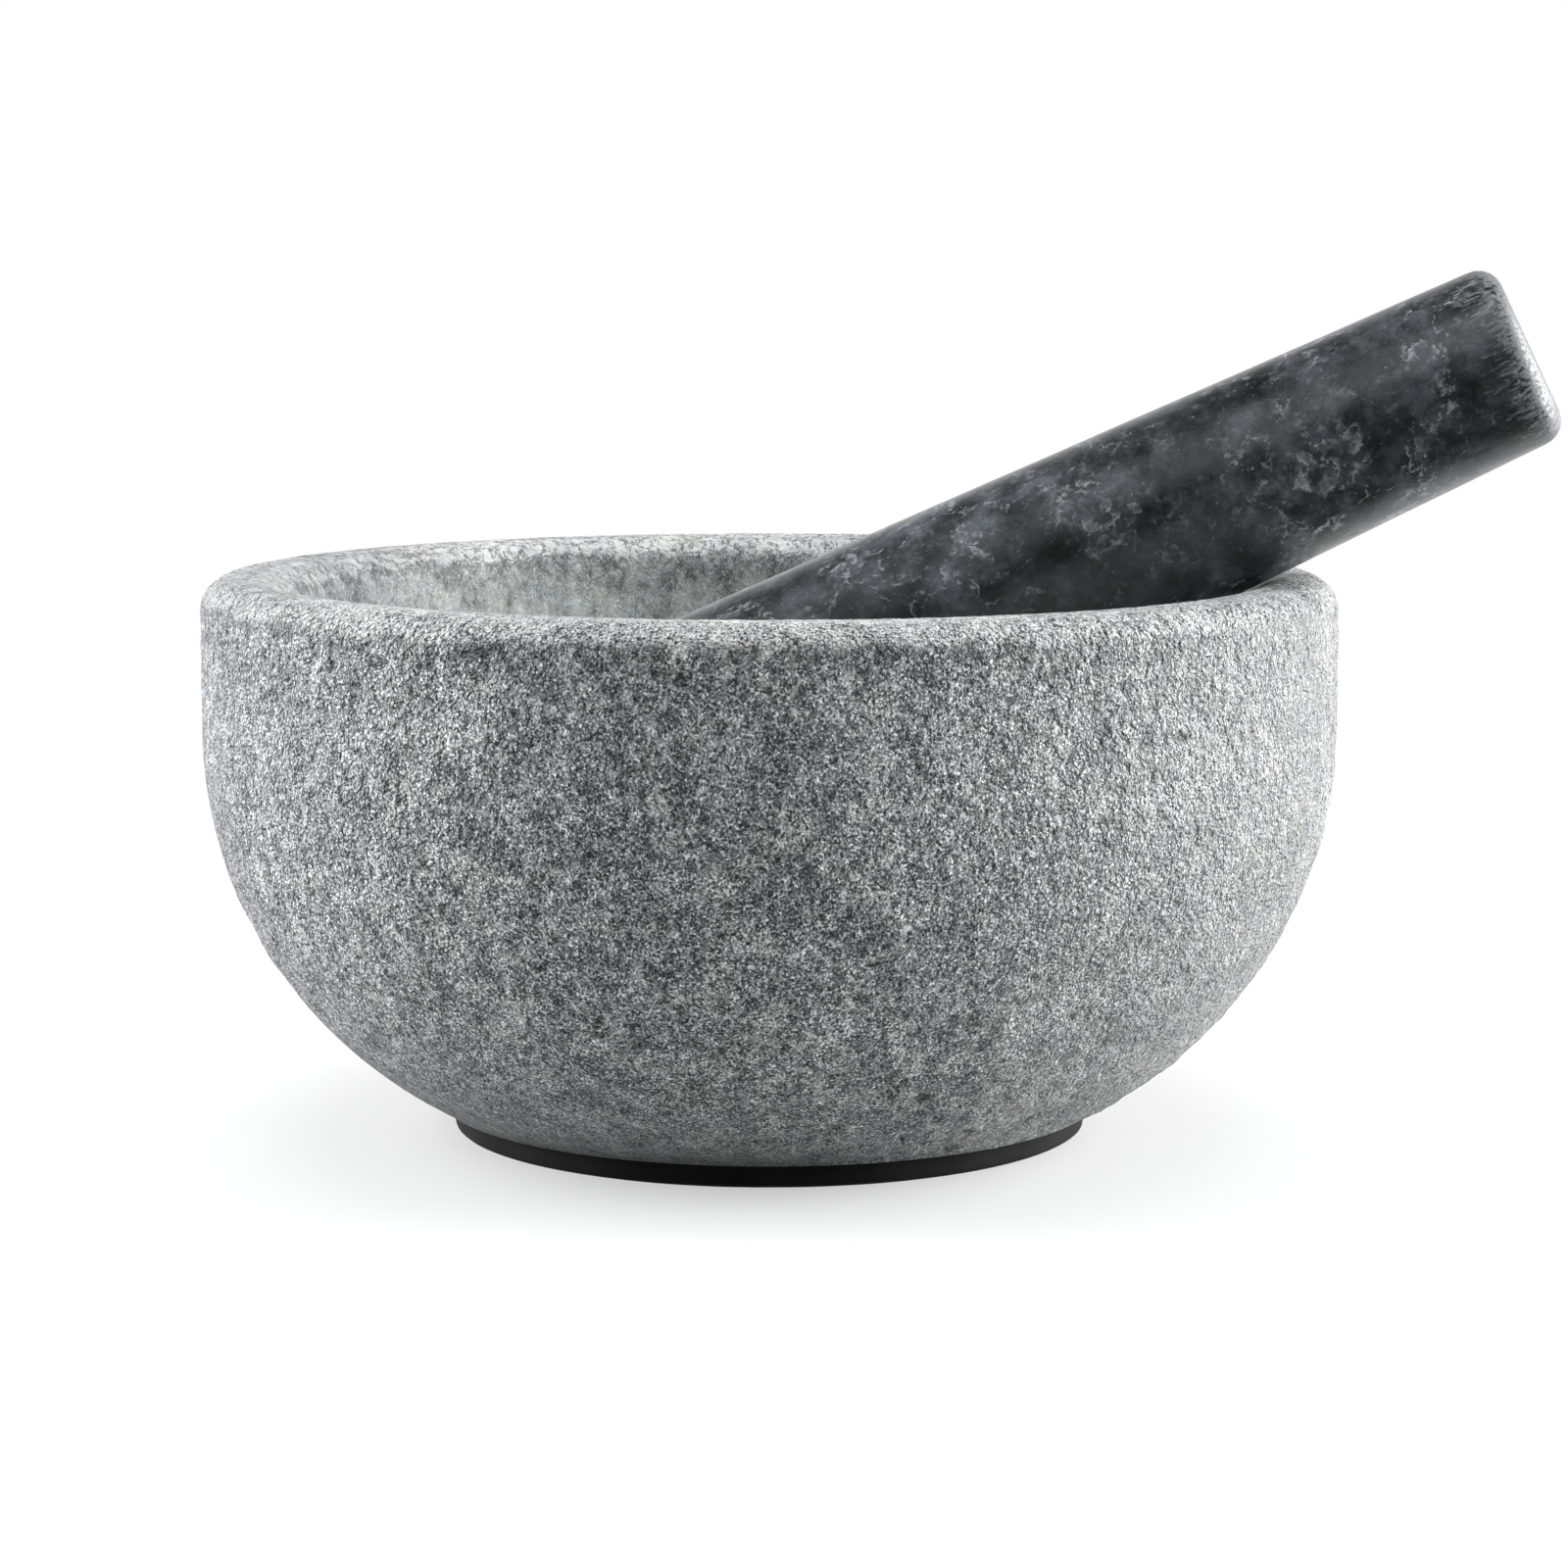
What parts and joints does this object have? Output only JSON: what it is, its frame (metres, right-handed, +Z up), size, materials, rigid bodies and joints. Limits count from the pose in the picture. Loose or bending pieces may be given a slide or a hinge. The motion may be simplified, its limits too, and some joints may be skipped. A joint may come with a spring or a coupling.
{
  "type": "molcajete mortar and pestle",
  "caption": "Rough grey stone mortar with a smooth rim on a thin black rubber foot, and a dark polished stone pestle leaning in the bowl.",
  "frame": {"origin": "centre of the rubber foot's underside, which is on the bowl's axis", "axes": "+Z up along the bowl's axis, +X towards the handle end of the leaning pestle, which lies in the XZ plane"},
  "size_m": [0.237, 0.2, 0.1514],
  "materials": {
    "bowl_stone": "rough dressed granite, ground rim and cavity",
    "adhesive": "dried contact adhesive",
    "foot_rubber": "matte",
    "pestle_stone": "satin polished dark stone with pale veins"
  },
  "bodies": {
    "mortar": {"bowl": "bowl_stone", "foot_adhesive": "adhesive", "foot_pad": "foot_rubber"},
    "pestle": {"pestle": "pestle_stone"}
  },
  "joints": [
    {"name": "pestle_lift", "type": "slide", "parent": "mortar", "child": "pestle", "axis": [0, 0, 1], "range_m": [0, 0.12]}
  ]
}
